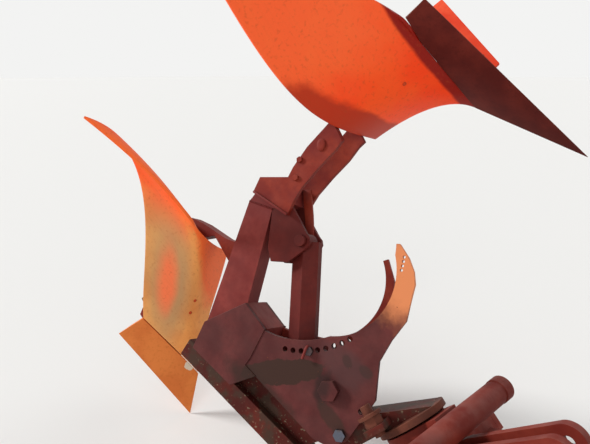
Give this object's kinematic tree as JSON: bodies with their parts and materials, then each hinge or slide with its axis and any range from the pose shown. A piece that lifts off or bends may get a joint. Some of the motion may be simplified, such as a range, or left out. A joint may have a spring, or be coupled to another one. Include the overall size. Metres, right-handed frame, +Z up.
{
  "type": "single furrow reversible mouldboard plough",
  "caption": "Heavy mounted turnover plough with two opposite bodies, twin sector plates, box arm and a three-point headstock, parked nose down.",
  "frame": {"origin": "centre of the top link bore, midway between the two mast plates", "axes": "+X horizontally forward to the tractor, +Y left along the top link bore, +Z up, with the plough standing nose down as it parks"},
  "size_m": [1.9068, 1.3239, 1.8173],
  "materials": {
    "frame_paint": "faded dark red paint, dusty",
    "board_paint": "vivid orange red paint, worn to brown where soil slid",
    "share_steel": "flat rust over worn steel",
    "landside_steel": "scoured steel with light rust",
    "frog_steel": "painted casting, dull",
    "bare_steel": "turned steel, dull",
    "fastener_steel": "dark steel with rust"
  },
  "bodies": {
    "headstock": {"bearing_housing": "frame_paint", "headstock_crossbeam": "frame_paint", "mast_plate_left": "frame_paint", "mast_plate_right": "frame_paint", "mast_stay_left": "frame_paint", "mast_stay_right": "frame_paint", "lower_ear_left": "frame_paint", "lower_ear_right": "frame_paint", "lower_link_pin_left": "bare_steel", "lower_link_pin_right": "bare_steel", "turnover_cylinder": "frame_paint", "cylinder_seat": "frame_paint"},
    "swing_frame": {"turnover_shaft": "bare_steel", "shaft_end_nut": "fastener_steel", "main_beam": "frame_paint", "sector_plate_right": "frame_paint", "sector_plate_left": "frame_paint", "foot_plate_right": "frame_paint", "foot_plate_left": "frame_paint", "frame_arm": "frame_paint", "base_bar": "frame_paint", "frame_web": "frame_paint", "knee_block": "frame_paint", "leg_plate_right": "frame_paint", "leg_plate_left": "frame_paint", "lower_leg": "frame_paint", "cheek_right": "frame_paint", "cheek_left": "frame_paint", "cross_pin": "bare_steel", "adjusting_lever": "frame_paint", "lock_bolt": "fastener_steel", "pivot_bolt": "fastener_steel", "shear_bolt": "fastener_steel", "adjusting_screw": "fastener_steel", "screw_lug": "frame_paint", "lower_moldboard": "board_paint", "lower_share": "share_steel", "lower_landside": "landside_steel", "lower_frog": "frog_steel", "lower_wing_stay": "frame_paint", "upper_moldboard": "board_paint", "upper_share": "share_steel", "upper_landside": "landside_steel", "upper_frog": "frog_steel", "upper_wing_stay": "frame_paint"}
  },
  "joints": [
    {"name": "turnover", "type": "hinge", "parent": "headstock", "child": "swing_frame", "pos_m": [-0.38047, 0, -0.27388], "axis": [0.7439, 0, -0.6683], "range_deg": [-147.5, 32.5]}
  ]
}
